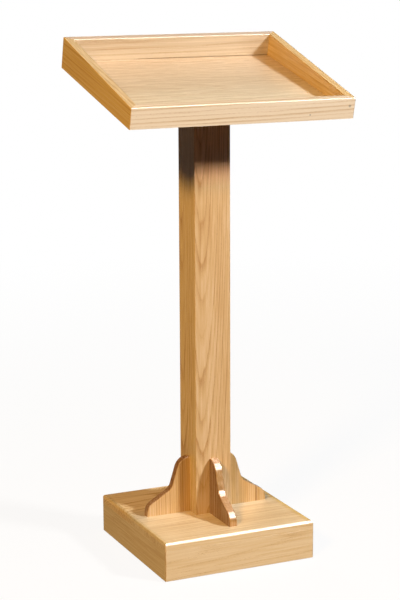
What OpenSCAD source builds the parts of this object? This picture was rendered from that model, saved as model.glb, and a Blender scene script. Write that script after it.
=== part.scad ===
// A wooden lectern: a tray tilted towards the reader, on a hollow square post,
// braced by four ogee brackets on a low box base.
// Millimetres. The origin lies on the floor under the post's axis.
// +X is the reader's right, +Y points away from the reader and +Z is up.

/* [Base] */
// Width of the base, left to right
base_w = 356; // [300:1:420]
// Depth of the base, front to back
base_d = 368; // [300:1:420]
// Height of the base, from the lower edges of its rails to its top
base_h = 86; // [76:1:120]
// Thickness of the top panel
base_top_t = 19; // [16:0.5:22]
// Thickness of the four mitred rails
base_rail_t = 19; // [16:0.5:25]
// Radius of the round-over along the top edges
base_edge_r = 8; // [4:0.5:12]
// Radius that eases the upright corners
base_corner_r = 3; // [1:0.5:6]

/* [Base blocks] */
// Side of the square glue block in each corner
glue_block_w = 38; // [32:1:48]
// How far the glue blocks stop short of the rails' lower edges
glue_block_recess = 3; // [1:0.5:3.5]
// Side of the square block that takes the post's bolts
bolt_block_w = 112; // [100:1:118]
// Thickness of that block
bolt_block_t = 19; // [16:0.5:22]

/* [Glides] */
// Diameter of a glide
glide_d = 24; // [18:1:30]
// Thickness of a glide
glide_t = 5; // [4.5:0.5:8]
// Chamfer round its lower edge, which lets it slide over a threshold
glide_chamfer = 1; // [0.5:0.25:1.5]
// Diameter of the nail that holds a glide
glide_nail_d = 2.8; // [2:0.1:4]
// Length of that nail, over its head
glide_nail_l = 22; // [14:1:32]
// Diameter of the nail's head
glide_nail_head_d = 8; // [6:0.5:10]
// Thickness of the nail's head
glide_nail_head_t = 1.5; // [1:0.25:2.5]
// How deep the head sits in the glide
glide_nail_sink = 1; // [0.5:0.25:1.5]

/* [Post] */
// Side of the square post
post_w = 85; // [80:0.5:96]
// Thickness of the four mitred boards that form it
post_board_t = 19; // [15:0.5:21]
// Radius that eases the post's upright edges
post_edge_r = 1.5; // [0.5:0.5:4]
// Length of the block glued into the post's foot
foot_plug_l = 90; // [70:1:160]
// Length of the block glued into the post's head, on its axis
head_plug_l = 90; // [70:1:160]

/* [Brackets] */
// How far a bracket reaches out from the post
bracket_reach = 104; // [96:1:116]
// Height of a bracket
bracket_h = 127; // [119:1:140]
// Thickness of a bracket
bracket_t = 19; // [16:0.5:25]
// Radius of the bracket's shoulder, at the post
shoulder_r = 32; // [24:1:38]
// Radius of the hollow between shoulder and toe
cove_r = 26; // [18:1:32]
// Distance of the hollow's centre from the post
cove_out = 67; // [62:1:72]
// Height of the hollow's centre over the base
cove_up = 74.5; // [70:0.5:80]
// Radius of the bracket's toe
toe_r = 28; // [22:1:34]
// Height of the toe's upright end, below its curve
toe_rise = 6.5; // [2:0.5:10]
// Radius of the round-over along the bracket's edges
bracket_edge_r = 3; // [1:0.5:4]

/* [Tray] */
// Width of the tray
tray_w = 509; // [420:1:600]
// Length of the tray along its slope
tray_l = 405; // [340:1:480]
// Slope of the tray's floor
tray_tilt = 14.2; // [8:0.1:20]
// Height of the tray's lower edges over the floor of the room, on the post's axis
tray_z = 1022; // [900:1:1100]
// How far the tray's middle lies in front of the post's axis, along the slope
tray_forward = 5; // [0:0.5:20]
// Height of the front rail
tray_front_h = 45.5; // [38:0.5:60]
// Height of the back rail
tray_back_h = 69; // [61:0.5:90]
// Thickness of the tray's rails
tray_rail_t = 19; // [16:0.5:22]
// Radius that eases the rim
tray_edge_r = 1.5; // [1:0.25:1.75]
// Radius that eases the upright corners
tray_corner_r = 2; // [1.5:0.25:3]
// Thickness of the tray's floor
tray_floor_t = 13; // [11:0.5:16]
// Height of the floor's lower face over the rails' lower edges
tray_floor_lift = 6; // [4:0.5:10]
// Depth of the groove that holds the floor
tray_groove_d = 6; // [4:0.5:8]
// Room that the floor has to swell in its groove
tray_floor_play = 0.5; // [0.25:0.25:1]

/* [Mounting plate] */
// Width of the plate between post and tray
plate_w = 200; // [180:1:240]
// Length of the plate along the slope
plate_l = 200; // [180:1:240]
// Thickness of the plate
plate_t = 19; // [16:0.5:22]
// Radius of the plate's corners
plate_corner_r = 12; // [4:1:20]

/* [Post bolts] */
// Diameter of the bolts that hold the post to the base
bolt_d = 8; // [6:0.5:9]
// How deep a bolt bites into the post's foot
bolt_bite = 40; // [30:1:55]
// Width across the flats of a bolt's head
bolt_head_w = 13; // [11:0.5:14]
// Thickness of a bolt's head
bolt_head_t = 5.5; // [4:0.5:7]
// Distance between neighbouring bolts
bolt_pitch = 27; // [24:0.5:29]
// Diameter of a washer
washer_d = 20; // [17:0.5:22]
// Thickness of a washer
washer_t = 1.6; // [1:0.2:2.6]
// Gap between a bolt and its washer
washer_play = 0.4; // [0.2:0.1:1]

/* [Screws, dowels and pins] */
// Diameter of the wood screws
screw_d = 4.8; // [4:0.2:5.4]
// Diameter of their flat heads
screw_head_d = 9.5; // [8:0.5:11]
// How deep a screw bites into a bracket's foot
bracket_screw_bite = 28; // [20:1:34]
// Distance of the inner bracket screw from the post
bracket_screw_in = 32; // [28:1:36]
// Distance of the outer bracket screw from the bracket's toe
bracket_screw_out = 24; // [20:1:30]
// How deep a screw bites into the post's head
head_screw_bite = 32; // [24:1:45]
// Distance between neighbouring screws in the post's head
head_screw_pitch = 28; // [24:0.5:30]
// How deep a screw bites into the tray's floor
tray_screw_bite = 9; // [6:0.5:9.5]
// Distance of the tray screws from the plate's edges
tray_screw_inset = 20; // [15:1:28]
// Diameter of a dowel
dowel_d = 8; // [6:0.5:10]
// Length of a dowel
dowel_l = 34; // [28:1:40]
// How deep a dowel sits in the post
dowel_bite = 12; // [9:0.5:13]
// Height of the lower dowel over the base
dowel_low = 30; // [22:1:40]
// Height of the upper dowel over the base
dowel_high = 95; // [80:1:104]
// Diameter of a pin nail
pin_d = 1.6; // [1.2:0.1:2]
// Length of a pin nail
pin_l = 28; // [24:1:34]
// How deep a pin is set below the surface, under its filler
pin_set = 2; // [1:0.5:4]
// Distance of the corner pins from the tray's corners
pin_corner = 12.5; // [10:0.5:14]
// Height of the corner pins over the rails' lower edges
pin_up = 28; // [26:0.5:32]
// Distance of the floor's pins from the middle of a front or back rail
pin_spread = 150; // [90:1:180]
// Distance of the floor's pins from the middle of a side rail
pin_side_spread = 110; // [60:1:130]
// Gap left round every screw, bolt, dowel and pin
fit_gap = 0.1; // [0.05:0.05:0.2]

/* [Hidden] */

$fn = 64;
OAK_FACE = [0.89, 0.73, 0.52];
OAK_SIDE = [0.80, 0.61, 0.38];
OAK_FLOOR = [0.93, 0.80, 0.63];
SOFTWOOD = [0.87, 0.76, 0.58];
BEECH = [0.85, 0.70, 0.52];
FILLER = [0.72, 0.55, 0.36];
STEEL = [0.72, 0.73, 0.75];
NYLON = [0.55, 0.44, 0.32];

// The four sides of a frame, and the corner where each of them begins
FRONT = 0;
RIGHT = 1;
BACK = 2;
LEFT = 3;
FRONT_LEFT = 0;
FRONT_RIGHT = 1;
BACK_RIGHT = 2;
BACK_LEFT = 3;
CORNERS = [[-1, -1], [1, -1], [1, 1], [-1, 1]];

// More than any piece measures, for cutting planes, and how far a cut runs past a face
FAR = 2000;
OVERRUN = 1;

// Turn between neighbouring points of a bracket's curves, and steps in its rounded edge
ARC_STEP = 6;
EDGE_STEPS = 4;

// Heights over the floor
foot_h = glide_t - glue_block_recess;
base_top_z = foot_h + base_h;
panel_z = base_top_z - base_top_t;
bolt_block_z = panel_z - bolt_block_t;
glue_block_h = base_h - base_top_t - glue_block_recess;
bolt_shoulder_z = bolt_block_z - washer_t;
bolt_l = washer_t + bolt_block_t + base_top_t + bolt_bite;

// Places in the base's plan
glue_block_x = base_w / 2 - base_rail_t - glue_block_w / 2;
glue_block_y = base_d / 2 - base_rail_t - glue_block_w / 2;
plug_w = post_w - 2 * post_board_t;

// The tray's own frame: y runs up the slope from the post's axis, z is square to the floor
tray_front_y = -tray_l / 2 - tray_forward;
tray_mid_y = -tray_forward;
rim_tilt = atan((tray_back_h - tray_front_h) / tray_l);
plate_z = tray_floor_lift - plate_t;
tray_floor_mid_z = tray_floor_lift + tray_floor_t / 2;
head_plug_z = tray_z + plate_z / cos(tray_tilt) - head_plug_l;

// The screws in the post's head lean with the tray: they start this far forward of its axis,
// so that they end in the middle of the plug
head_screw_drift = (head_screw_bite / 2 - plate_z) * tan(tray_tilt);

// A point at a distance and an angle from a centre
function polar(centre, r, a) = centre + r * [cos(a), sin(a)];

// The angle of the normal to the straight run that leaves one circle and joins the other on its far side
function run_normal(from, r_from, to, r_to, turn) =
    let (gap = to - from)
    atan2(gap[1], gap[0]) + turn * acos((r_from + r_to) / norm(gap));

// Centres and tangent angles of a bracket's outline; x runs out from the post and y up from the base
shoulder_c = [0, bracket_h - shoulder_r];
cove_c = [cove_out, cove_up];
toe_c = [bracket_reach - toe_r, toe_rise];
steep_a = run_normal(shoulder_c, shoulder_r, cove_c, cove_r, 1);
gentle_a = run_normal(toe_c, toe_r, cove_c, cove_r, -1);

// A rectangle with rounded corners
module eased_rect(w, d, r) {
    square([w - 2 * r, d], center = true);
    square([w, d - 2 * r], center = true);
    for (s = CORNERS) translate([s[0] * (w / 2 - r), s[1] * (d / 2 - r)]) circle(r);
}

// A board's section standing on the x axis, with its two upper corners rounded
module eased_section(w, h, r) {
    translate([-w / 2, 0]) square([w, h - r]);
    translate([-w / 2 + r, 0]) square([w - 2 * r, h]);
    for (s = [-1, 1]) translate([s * (w / 2 - r), h - r]) circle(r);
}

// One side of a mitred frame seen from above, within the frame's eased outline
module mitred_plan(w, d, t, r, side) {
    outer = [for (s = CORNERS) [s[0] * w / 2, s[1] * d / 2]];
    inner = [for (s = CORNERS) [s[0] * (w / 2 - t), s[1] * (d / 2 - t)]];
    next = (side + 1) % 4;
    intersection() {
        eased_rect(w, d, r);
        polygon([outer[side], outer[next], inner[next], inner[side]]);
    }
}

// Extrudes a section along X or along Y; the section's y stays upright
module along_x(l) rotate([90, 0, 90]) linear_extrude(l, center = true) children();
module along_y(l) rotate([90, 0, 0]) linear_extrude(l, center = true) children();

// Copies at the corners of a square or rectangle round the Z axis
module at_corners(dx, dy) for (s = CORNERS) translate([s[0] * dx, s[1] * dy, 0]) children();

// Turns a bracket's frame to each of the four sides of the post
module at_post_side(side) rotate((side - 1) * 90) children();

// Places the tray's own frame on the post's axis
module on_tray() translate([0, 0, tray_z]) rotate([tray_tilt, 0, 0]) children();

// A flat-head screw pointing down, its head level with z = 0; with slack it is the hole for one
module screw(l, slack = 0) {
    r = screw_d / 2 + slack;
    head_r = screw_head_d / 2 + slack;
    tip_l = screw_d;
    if (slack > 0) cylinder(r = head_r, h = OVERRUN);
    translate([0, 0, -(head_r - r)]) cylinder(r1 = r, r2 = head_r, h = head_r - r);
    translate([0, 0, tip_l - l]) cylinder(r = r, h = l - tip_l);
    translate([0, 0, -l - slack]) cylinder(r1 = slack, r2 = r, h = tip_l + slack);
}

// Bolts for wood, pointing up from the underside of their washers
module bolt_shanks(slack = 0, shoulder = 0) {
    r = bolt_d / 2 + slack;
    tip_l = bolt_d;
    translate([0, 0, bolt_shoulder_z]) at_corners(bolt_pitch / 2, bolt_pitch / 2) {
        translate([0, 0, -shoulder]) cylinder(r = r, h = shoulder + bolt_l - tip_l);
        translate([0, 0, bolt_l - tip_l]) cylinder(r1 = r, r2 = slack, h = tip_l + slack);
    }
}

module bracket_screw_set(slack = 0)
    for (side = [FRONT : LEFT])
        at_post_side(side)
            for (out = [bracket_screw_in, bracket_reach - bracket_screw_out])
                translate([post_w / 2 + out, 0, panel_z])
                    mirror([0, 0, 1]) screw(base_top_t + bracket_screw_bite, slack);

module dowel_set(slack = 0)
    for (side = [FRONT : LEFT])
        at_post_side(side)
            for (up = [dowel_low, dowel_high])
                translate([post_w / 2 - dowel_bite - slack, 0, base_top_z + up])
                    rotate([0, 90, 0]) cylinder(d = dowel_d + 2 * slack, h = dowel_l + 2 * slack);

module head_screw_set(slack = 0)
    on_tray() translate([0, -head_screw_drift, tray_floor_lift])
        at_corners(head_screw_pitch / 2, head_screw_pitch / 2) screw(plate_t + head_screw_bite, slack);

module tray_screw_set(slack = 0)
    on_tray() translate([0, 0, plate_z])
        for (x = [-1, 1], y = [-1, 0, 1])
            translate([x * (plate_w / 2 - tray_screw_inset), y * (plate_l / 2 - tray_screw_inset), 0])
                mirror([0, 0, 1]) screw(plate_t + tray_screw_bite, slack);

// Places where pins enter the tray's rails: each looks along +Y into the wood
module at_pins() on_tray() translate([0, tray_mid_y, 0]) {
    for (turn = [0, 180]) rotate(turn) translate([0, -tray_l / 2, 0]) {
        for (x = [-1, 0, 1]) translate([x * pin_spread, 0, tray_floor_mid_z]) children();
        for (x = [-1, 1]) translate([x * (tray_w / 2 - pin_corner), 0, pin_up]) children();
    }
    for (turn = [90, -90]) rotate(turn) translate([0, -tray_w / 2, tray_floor_mid_z])
        for (x = [-1, 1]) translate([x * pin_side_spread, 0, 0]) children();
}

module pin_bores() at_pins() translate([0, -OVERRUN, 0]) rotate([-90, 0, 0])
    cylinder(d = pin_d + 2 * fit_gap, h = OVERRUN + pin_l + fit_gap);

// Base
module base_top_panel() color(OAK_FACE) difference() {
    translate([0, 0, panel_z]) intersection() {
        linear_extrude(base_top_t) eased_rect(base_w, base_d, base_corner_r);
        along_x(base_w) eased_section(base_d, base_top_t, base_edge_r);
        along_y(base_d) eased_section(base_w, base_top_t, base_edge_r);
    }
    bolt_shanks(fit_gap);
    bracket_screw_set(fit_gap);
}

module base_rail(side) color(side == LEFT || side == RIGHT ? OAK_SIDE : OAK_FACE)
    translate([0, 0, foot_h]) linear_extrude(base_h - base_top_t)
        mitred_plan(base_w, base_d, base_rail_t, base_corner_r, side);

module at_block(corner)
    translate([CORNERS[corner][0] * glue_block_x, CORNERS[corner][1] * glue_block_y, 0]) children();

module glue_block(corner) color(SOFTWOOD) difference() {
    at_block(corner) translate([-glue_block_w / 2, -glue_block_w / 2, glide_t])
        cube([glue_block_w, glue_block_w, glue_block_h]);
    glide_nail_set(fit_gap);
}

module glide(corner) color(NYLON) difference() {
    at_block(corner) {
        cylinder(d1 = glide_d - 2 * glide_chamfer, d2 = glide_d, h = glide_chamfer);
        translate([0, 0, glide_chamfer]) cylinder(d = glide_d, h = glide_t - glide_chamfer);
    }
    glide_nail_set(fit_gap);
    at_corners(glue_block_x, glue_block_y) translate([0, 0, -OVERRUN])
        cylinder(d = glide_nail_head_d + 2 * fit_gap, h = OVERRUN + glide_nail_sink + glide_nail_head_t);
}

module glide_nail_set(slack = 0) at_corners(glue_block_x, glue_block_y) translate([0, 0, glide_nail_sink]) {
    cylinder(d = glide_nail_head_d + 2 * slack, h = glide_nail_head_t);
    cylinder(d = glide_nail_d + 2 * slack, h = glide_nail_l + slack);
}

module glide_nails() color(STEEL) glide_nail_set();

module bolt_block() color(SOFTWOOD) difference() {
    translate([-bolt_block_w / 2, -bolt_block_w / 2, bolt_block_z])
        cube([bolt_block_w, bolt_block_w, bolt_block_t]);
    bolt_shanks(fit_gap);
}

module post_bolts() color(STEEL) {
    bolt_shanks(shoulder = bolt_head_t / 2);
    translate([0, 0, bolt_shoulder_z - bolt_head_t])
        at_corners(bolt_pitch / 2, bolt_pitch / 2)
            cylinder(d = bolt_head_w / cos(30), h = bolt_head_t, $fn = 6);
}

module post_washers() color(STEEL) difference() {
    translate([0, 0, bolt_shoulder_z])
        at_corners(bolt_pitch / 2, bolt_pitch / 2) cylinder(d = washer_d, h = washer_t);
    bolt_shanks(washer_play, OVERRUN);
}

// Post: its head is cut at the tray's slope, under the mounting plate
module under_plate() difference() {
    children();
    on_tray() translate([-FAR / 2, -FAR / 2, plate_z]) cube(FAR);
}

module post_board(side) color(side == LEFT || side == RIGHT ? OAK_SIDE : OAK_FACE) difference() {
    under_plate() translate([0, 0, base_top_z]) linear_extrude(tray_z)
        mitred_plan(post_w, post_w, post_board_t, post_edge_r, side);
    dowel_set(fit_gap);
}

module post_foot_plug() color(SOFTWOOD) difference() {
    translate([-plug_w / 2, -plug_w / 2, base_top_z]) cube([plug_w, plug_w, foot_plug_l]);
    bolt_shanks(fit_gap);
}

module post_head_plug() color(SOFTWOOD) difference() {
    under_plate() translate([-plug_w / 2, -plug_w / 2, head_plug_z]) cube([plug_w, plug_w, FAR]);
    head_screw_set(fit_gap);
}

// Brackets: the outline is a shoulder, a steep run, a hollow, a gentle run and an upright toe.
// Each entry is a point of the outline and the direction that looks out of the wood there.
function arc_stretch(centre, r, from, to, side = 1) =
    let (steps = ceil(abs(to - from) / ARC_STEP))
    [for (i = [0 : steps]) let (a = from + (to - from) * i / steps)
        [polar(centre, side * r, a), [cos(a), sin(a)]]];

bracket_outline = concat(
    arc_stretch(shoulder_c, shoulder_r, 90, steep_a),
    arc_stretch(cove_c, cove_r, steep_a, gentle_a, -1),
    arc_stretch(toe_c, toe_r, gentle_a, 0),
    [[[bracket_reach, 0], [1, 0]]]
);

// The outline drawn in by a distance; the sides against the post and the base stay where they are
function drawn_in(inset) = concat([[0, 0]], [for (p = bracket_outline) p[0] - inset * p[1]]);

// Heights of the skin's layers, each with its inset: a quarter round, the flat edge and a quarter round
bracket_layers = [for (s = [-1, 1], i = [0 : EDGE_STEPS])
    let (a = 90 * (s < 0 ? 1 - i / EDGE_STEPS : i / EDGE_STEPS))
    [s * (bracket_t / 2 - bracket_edge_r * (1 - sin(a))), bracket_edge_r * (1 - cos(a))]];

module bracket_body() {
    count = len(bracket_outline) + 1;
    last = len(bracket_layers) - 1;
    corners = [for (layer = bracket_layers, p = drawn_in(layer[1])) [p[0], p[1], layer[0]]];
    skin = [for (k = [0 : last - 1], i = [0 : count - 1])
        let (a = k * count + i, b = k * count + (i + 1) % count)
        each [[a, b, b + count], [a, b + count, a + count]]];
    polyhedron(corners, concat(
        [[for (i = [count - 1 : -1 : 0]) i]],
        skin,
        [[for (i = [0 : count - 1]) last * count + i]]
    ));
}

module bracket(side) color(side == LEFT || side == RIGHT ? OAK_FACE : OAK_SIDE) difference() {
    at_post_side(side) translate([post_w / 2, 0, base_top_z]) rotate([90, 0, 0]) bracket_body();
    dowel_set(fit_gap);
    bracket_screw_set(fit_gap);
}

module bracket_dowels() color(BEECH) dowel_set();
module bracket_screws() color(STEEL) bracket_screw_set();

// Tray
module mounting_plate() color(SOFTWOOD) difference() {
    on_tray() translate([0, 0, plate_z]) linear_extrude(plate_t) eased_rect(plate_w, plate_l, plate_corner_r);
    head_screw_set(fit_gap);
    tray_screw_set(fit_gap);
}

module plate_screws() color(STEEL) head_screw_set();
module tray_screws() color(STEEL) tray_screw_set();

module floor_panel(grow)
    translate([0, tray_mid_y, tray_floor_lift])
        translate([-tray_w / 2 + tray_rail_t - grow, -tray_l / 2 + tray_rail_t - grow, 0])
            cube([tray_w - 2 * (tray_rail_t - grow), tray_l - 2 * (tray_rail_t - grow), tray_floor_t]);

module tray_floor() color(OAK_FLOOR) difference() {
    on_tray() floor_panel(tray_groove_d - tray_floor_play);
    tray_screw_set(fit_gap);
    pin_bores();
}

// A rounded corner, as the points where its arc begins, is centred and ends, from the directions of
// the side that leads to it and of the side that leaves it
function rounded(corner, way_in, way_out, r) =
    let (half = acos(-way_in * way_out) / 2, middle = way_out - way_in)
    [corner - r / tan(half) * way_in,
     corner + r / sin(half) * middle / norm(middle),
     corner + r / tan(half) * way_out];

// Section of the front rail: its top slopes with the rim, and both upper edges are eased
module front_section(h) {
    down_rim = -[cos(rim_tilt), sin(rim_tilt)];
    inner = rounded([tray_rail_t, h + tray_rail_t * tan(rim_tilt)], [0, 1], down_rim, tray_edge_r);
    outer = rounded([0, h], down_rim, [0, -1], tray_edge_r);
    polygon(concat([[0, 0], [tray_rail_t, 0]], inner, outer));
    for (arc = [inner, outer]) translate(arc[1]) circle(tray_edge_r);
}

// Boards longer than the rails, which the mitres then trim
module front_board() translate([0, tray_front_y, 0]) along_x(FAR) front_section(tray_front_h);
module back_board() translate([0, tray_front_y + tray_l - tray_rail_t, 0])
    along_x(FAR) front_section(tray_back_h - tray_rail_t * tan(rim_tilt));
module side_board(way)
    translate([way * (tray_w - tray_rail_t) / 2, tray_front_y, tray_front_h]) rotate([rim_tilt, 0, 0])
        translate([0, 0, -FAR / 2]) along_y(FAR) eased_section(tray_rail_t, FAR / 2, tray_edge_r);

module tray_rail(side) color(side == LEFT || side == RIGHT ? OAK_SIDE : OAK_FACE) difference() {
    on_tray() intersection() {
        translate([0, tray_mid_y, 0]) linear_extrude(2 * tray_back_h)
            mitred_plan(tray_w, tray_l, tray_rail_t, tray_corner_r, side);
        if (side == FRONT) front_board();
        if (side == BACK) back_board();
        if (side == LEFT) side_board(-1);
        if (side == RIGHT) side_board(1);
    }
    on_tray() floor_panel(tray_groove_d);
    pin_bores();
}

module tray_pins() color(STEEL) at_pins() translate([0, pin_set, 0]) rotate([-90, 0, 0])
    cylinder(d = pin_d, h = pin_l - pin_set);
module tray_pin_fillers() color(FILLER) at_pins() rotate([-90, 0, 0]) cylinder(d = pin_d, h = pin_set);

base_top_panel();
base_rail(FRONT);  // base_front_rail
base_rail(RIGHT);  // base_right_rail
base_rail(BACK);  // base_back_rail
base_rail(LEFT);  // base_left_rail
glue_block(FRONT_LEFT);  // glue_block_front_left
glue_block(FRONT_RIGHT);  // glue_block_front_right
glue_block(BACK_RIGHT);  // glue_block_back_right
glue_block(BACK_LEFT);  // glue_block_back_left
glide(FRONT_LEFT);  // glide_front_left
glide(FRONT_RIGHT);  // glide_front_right
glide(BACK_RIGHT);  // glide_back_right
glide(BACK_LEFT);  // glide_back_left
glide_nails();
bolt_block();
post_bolts();
post_washers();
post_board(FRONT);  // post_front_board
post_board(RIGHT);  // post_right_board
post_board(BACK);  // post_back_board
post_board(LEFT);  // post_left_board
post_foot_plug();
post_head_plug();
bracket(FRONT);  // bracket_front
bracket(RIGHT);  // bracket_right
bracket(BACK);  // bracket_back
bracket(LEFT);  // bracket_left
bracket_dowels();
bracket_screws();
mounting_plate();
plate_screws();
tray_screws();
tray_floor();
tray_rail(FRONT);  // tray_front_rail
tray_rail(RIGHT);  // tray_right_rail
tray_rail(BACK);  // tray_back_rail
tray_rail(LEFT);  // tray_left_rail
tray_pins();
tray_pin_fillers();
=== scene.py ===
# %% [markdown]
# # An oak lectern
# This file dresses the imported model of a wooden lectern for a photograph-like render.
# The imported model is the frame: it says where every piece is, in metres, with the origin on the
# floor under the post, X to the reader's right, Y away from the reader and Z up.
# Each cell below makes one piece or one finish, and says first why it is made that way.

# %% Load the frame
import math

import bpy
from mathutils import Matrix, Vector


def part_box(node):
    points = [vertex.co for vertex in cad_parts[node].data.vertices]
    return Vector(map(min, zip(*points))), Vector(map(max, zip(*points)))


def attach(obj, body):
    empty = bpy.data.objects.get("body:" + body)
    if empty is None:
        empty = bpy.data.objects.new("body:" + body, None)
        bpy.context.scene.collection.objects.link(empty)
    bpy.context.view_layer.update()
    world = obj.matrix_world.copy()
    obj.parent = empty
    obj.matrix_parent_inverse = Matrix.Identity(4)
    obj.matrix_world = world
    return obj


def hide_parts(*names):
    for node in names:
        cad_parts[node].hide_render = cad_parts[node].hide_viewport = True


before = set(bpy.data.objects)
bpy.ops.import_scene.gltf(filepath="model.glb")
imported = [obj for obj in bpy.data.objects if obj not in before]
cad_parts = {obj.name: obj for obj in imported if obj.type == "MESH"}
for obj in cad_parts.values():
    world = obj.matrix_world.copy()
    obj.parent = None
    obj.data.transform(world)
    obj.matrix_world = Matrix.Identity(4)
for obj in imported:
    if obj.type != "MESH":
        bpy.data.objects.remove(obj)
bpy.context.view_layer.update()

# %% [markdown]
# ## Sizes that several pieces share
# A few can't be read from a box, such as the tray's slope or the radius of a round-over, so
# they are named here. Two lengths that differ by less than SAME, or by less than CLOSE after a
# cut, count as equal.

# %% Shared sizes
TILT = math.radians(14.2)
TILTED = Matrix.Rotation(TILT, 3, 'X')
TRAY_ORIGIN = Vector((0, 0, 1.022))
TRAY_W, TRAY_L, TRAY_FORWARD = 0.509, 0.405, 0.005
TRAY_FRONT_H, TRAY_BACK_H = 0.0455, 0.069
RIM_TILT = math.atan((TRAY_BACK_H - TRAY_FRONT_H) / TRAY_L)
FLOOR_LIFT, FLOOR_T = 0.006, 0.013
BOARD = 0.019
BASE_LOW, BASE_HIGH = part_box("base_top_panel")
POST_HALF = 0.0425
FRONT, RIGHT, BACK, LEFT = range(4)
OUTWARD = [Vector((0, -1, 0)), Vector((1, 0, 0)), Vector((0, 1, 0)), Vector((-1, 0, 0))]
SIDES = ["front", "right", "back", "left"]
QUARTER_TURNS = [Matrix.Rotation(math.pi / 2 * turn, 4, 'Z') for turn in range(4)]
SAME, CLOSE = 1e-6, 1e-5
print("base top at", round(BASE_HIGH.z, 4), "tray slope", round(math.degrees(TILT), 1))

# %% [markdown]
# ## The camera
# The photograph's straight edges tell where its camera stood: to the left of the lectern and
# a little higher than its tray, far away, with a long lens. A camera can be aimed with a
# constraint, but here its turn is known exactly, so it is written as a matrix.

# %% Camera
def deselect():
    bpy.ops.object.select_all(action='DESELECT')


def named(name):
    """What was just added, under a name."""
    added = bpy.context.object
    added.name = added.data.name = name
    return added


YAW, PITCH, ROLL = math.radians(-24.25), math.radians(11.79), math.radians(-0.28)
CAMERA_PLACE = Vector((-1.516, -3.340, 1.331))
FOCAL_PIXELS, LONG_SIDE_PIXELS, SENSOR_MM = 1701.9, 600, 36

forward = Vector((-math.sin(YAW) * math.cos(PITCH), math.cos(YAW) * math.cos(PITCH),
                  -math.sin(PITCH)))
level_right = Vector((math.cos(YAW), math.sin(YAW), 0))
level_up = level_right.cross(forward)
right = math.cos(ROLL) * level_right + math.sin(ROLL) * level_up
up = math.cos(ROLL) * level_up - math.sin(ROLL) * level_right

deselect()
bpy.ops.object.camera_add(location=CAMERA_PLACE)
camera = named("camera")
turned = Matrix((right, up, -forward)).transposed().to_4x4()
camera.matrix_world = Matrix.Translation(CAMERA_PLACE) @ turned
camera.data.sensor_width = SENSOR_MM
camera.data.lens = FOCAL_PIXELS / LONG_SIDE_PIXELS * SENSOR_MM
camera.data.clip_end = 50
bpy.context.scene.camera = camera
print("lens:", round(camera.data.lens, 1), "mm")

# %% [markdown]
# ## Working with blocks of wood
# A joiner starts from a planed board and then saws, rounds and grooves it. These helpers do the
# same: a block is a cube primitive, a saw cut is the bisect operator, and a rounded edge is the
# bevel operator on edges picked by their place. Each piece is left at the origin, unturned, with
# its place in its mesh.

# %% Helpers for selecting
def select_only(piece):
    """Leaves one piece selected and active, for the operators that follow."""
    deselect()
    piece.select_set(True)
    bpy.context.view_layer.objects.active = piece


def settle():
    """Puts the place, turn and size of what is selected into its mesh."""
    bpy.ops.object.transform_apply(location=True, rotation=True, scale=True)


def remove(*pieces):
    for piece in pieces:
        bpy.data.objects.remove(piece)


def edit_all(piece, kind):
    """Enters edit mode with all of the piece selected, as vertices, edges or faces."""
    select_only(piece)
    bpy.ops.object.mode_set(mode='EDIT')
    bpy.ops.mesh.select_mode(type=kind)
    bpy.ops.mesh.select_all(action='SELECT')


def leave_edit():
    bpy.ops.object.mode_set(mode='OBJECT')


# %% Helpers for blocks
def block(name, low, high):
    """A cube between two corners, alone selected, with its place in its mesh."""
    low, high = Vector(low), Vector(high)
    deselect()
    bpy.ops.mesh.primitive_cube_add(size=1, location=(low + high) / 2, scale=high - low)
    settle()
    return named(name)


def saw(piece, point, normal):
    """Cuts the piece at a plane through the point; what lies on the normal's side goes."""
    edit_all(piece, 'FACE')
    bpy.ops.mesh.bisect(plane_co=point, plane_no=normal, use_fill=True, clear_outer=True)
    leave_edit()


# %% Helpers for edges
def both(test):
    """Makes a test of one point into a test of an edge's two ends."""
    return lambda a, b: test(a) and test(b)


def upright(a, b):
    return abs(a.x - b.x) < SAME and abs(a.y - b.y) < SAME


def pick_edges(piece, test):
    """Enters edit mode with the edges selected whose two ends pass the test."""
    select_only(piece)
    bpy.ops.object.mode_set(mode='EDIT')
    bpy.ops.mesh.select_mode(type='EDGE')
    bpy.ops.mesh.select_all(action='DESELECT')
    leave_edit()
    points = [v.co for v in piece.data.vertices]
    for edge in piece.data.edges:
        edge.select = test(points[edge.vertices[0]], points[edge.vertices[1]])
    bpy.ops.object.mode_set(mode='EDIT')


def round_edges(piece, test, radius, steps):
    """Rounds the edges whose two ends pass the test."""
    pick_edges(piece, test)
    bpy.ops.mesh.bevel(offset=radius, offset_type='OFFSET', segments=steps, affect='EDGES')
    leave_edit()


# %% Helpers for modifiers
SLIVER = 2e-5
SHARP_ANGLE, ROUND_ANGLE = math.radians(40), math.radians(50)


def use_modifier(piece, kind, **settings):
    """Adds a modifier, sets it and applies it."""
    select_only(piece)
    modifier = piece.modifiers.new(kind.lower(), kind)
    for key, value in settings.items():
        setattr(modifier, key, value)
    bpy.ops.object.modifier_apply(modifier=modifier.name)


def carve(piece, tool, operation='DIFFERENCE'):
    """Cuts the piece with a tool, another piece, which stays as it is."""
    use_modifier(piece, 'BOOLEAN', operation=operation, object=tool, solver='EXACT')


def smooth(piece):
    """Clears away slivers, then shades round edges as round and flat faces as flat."""
    edit_all(piece, 'FACE')
    bpy.ops.mesh.remove_doubles(threshold=SLIVER)
    bpy.ops.mesh.dissolve_degenerate(threshold=SLIVER)
    bpy.ops.mesh.select_all(action='DESELECT')
    bpy.ops.mesh.select_face_by_sides(number=4, type='GREATER')
    bpy.ops.mesh.quads_convert_to_tris(quad_method='BEAUTY', ngon_method='BEAUTY')
    leave_edit()
    bpy.ops.object.shade_smooth_by_angle(angle=ROUND_ANGLE)
    use_modifier(piece, 'WEIGHTED_NORMAL', weight=100, keep_sharp=True)


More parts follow.
